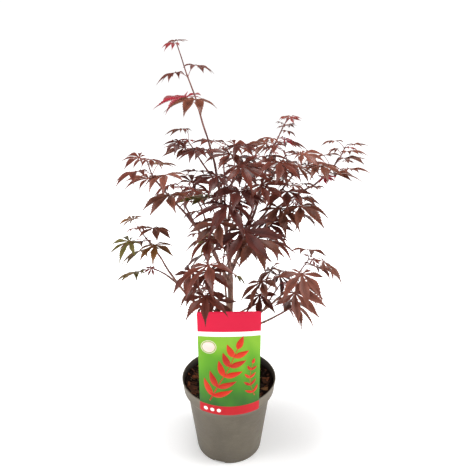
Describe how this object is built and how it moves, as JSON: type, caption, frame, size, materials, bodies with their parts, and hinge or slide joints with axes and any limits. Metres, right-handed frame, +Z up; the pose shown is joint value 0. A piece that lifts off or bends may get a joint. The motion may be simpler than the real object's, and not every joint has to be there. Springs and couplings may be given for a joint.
{
  "type": "potted japanese maple",
  "caption": "Young red-leaved palmate maple shrub in a round tapered plastic nursery pot, with soil and a printed care card hooked over the pot's rim.",
  "frame": {"origin": "centre of the pot's flat underside, on the ground", "axes": "+Z up along the pot's axis, -Y to the front where the care card hangs, +X to the right seen from the front"},
  "size_m": [0.3958, 0.374, 0.7182],
  "materials": {
    "pot": "taupe matte moulded plastic",
    "soil": "damp dark potting bark and peat",
    "card": "printed semi-gloss plastic card",
    "bark": "smooth young bark",
    "leaves": "thin burgundy leaves"
  },
  "bodies": {
    "root": {"pot": "pot", "soil": "soil", "card": "card", "trunk": "bark", "bough_leader": "bark", "bough_left": "bark", "bough_low_left": "bark", "bough_low_right": "bark", "bough_low_front": "bark", "bough_right": "bark", "bough_right_middle": "bark", "bough_right_outer": "bark", "bough_right_low": "bark", "bough_right_upper": "bark", "bough_centre": "bark", "bough_centre_front": "bark", "bough_centre_top": "bark", "bough_upper_left": "bark", "bough_left_inner": "bark", "bough_low_left_inner": "bark", "bough_low_left_outer": "bark", "bough_low": "bark", "bough_low_near": "bark", "bough_front": "bark", "bough_front_right": "bark", "bough_front_upper": "bark", "bough_low_right_inner": "bark", "bough_back": "bark", "bough_back_right": "bark", "bough_back_left": "bark", "bough_back_upper": "bark", "bough_low_back": "bark", "leaves_leader": "leaves", "leaves_left": "leaves", "leaves_low_left": "leaves", "leaves_low_right": "leaves", "leaves_low_front": "leaves", "leaves_right": "leaves", "leaves_right_middle": "leaves", "leaves_right_outer": "leaves", "leaves_right_low": "leaves", "leaves_right_upper": "leaves", "leaves_centre": "leaves", "leaves_centre_front": "leaves", "leaves_centre_top": "leaves", "leaves_upper_left": "leaves", "leaves_left_inner": "leaves", "leaves_low_left_inner": "leaves", "leaves_low_left_outer": "leaves", "leaves_low": "leaves", "leaves_low_near": "leaves", "leaves_front": "leaves", "leaves_front_right": "leaves", "leaves_front_upper": "leaves", "leaves_low_right_inner": "leaves", "leaves_back": "leaves", "leaves_back_right": "leaves", "leaves_back_left": "leaves", "leaves_back_upper": "leaves", "leaves_low_back": "leaves"}
  },
  "joints": []
}
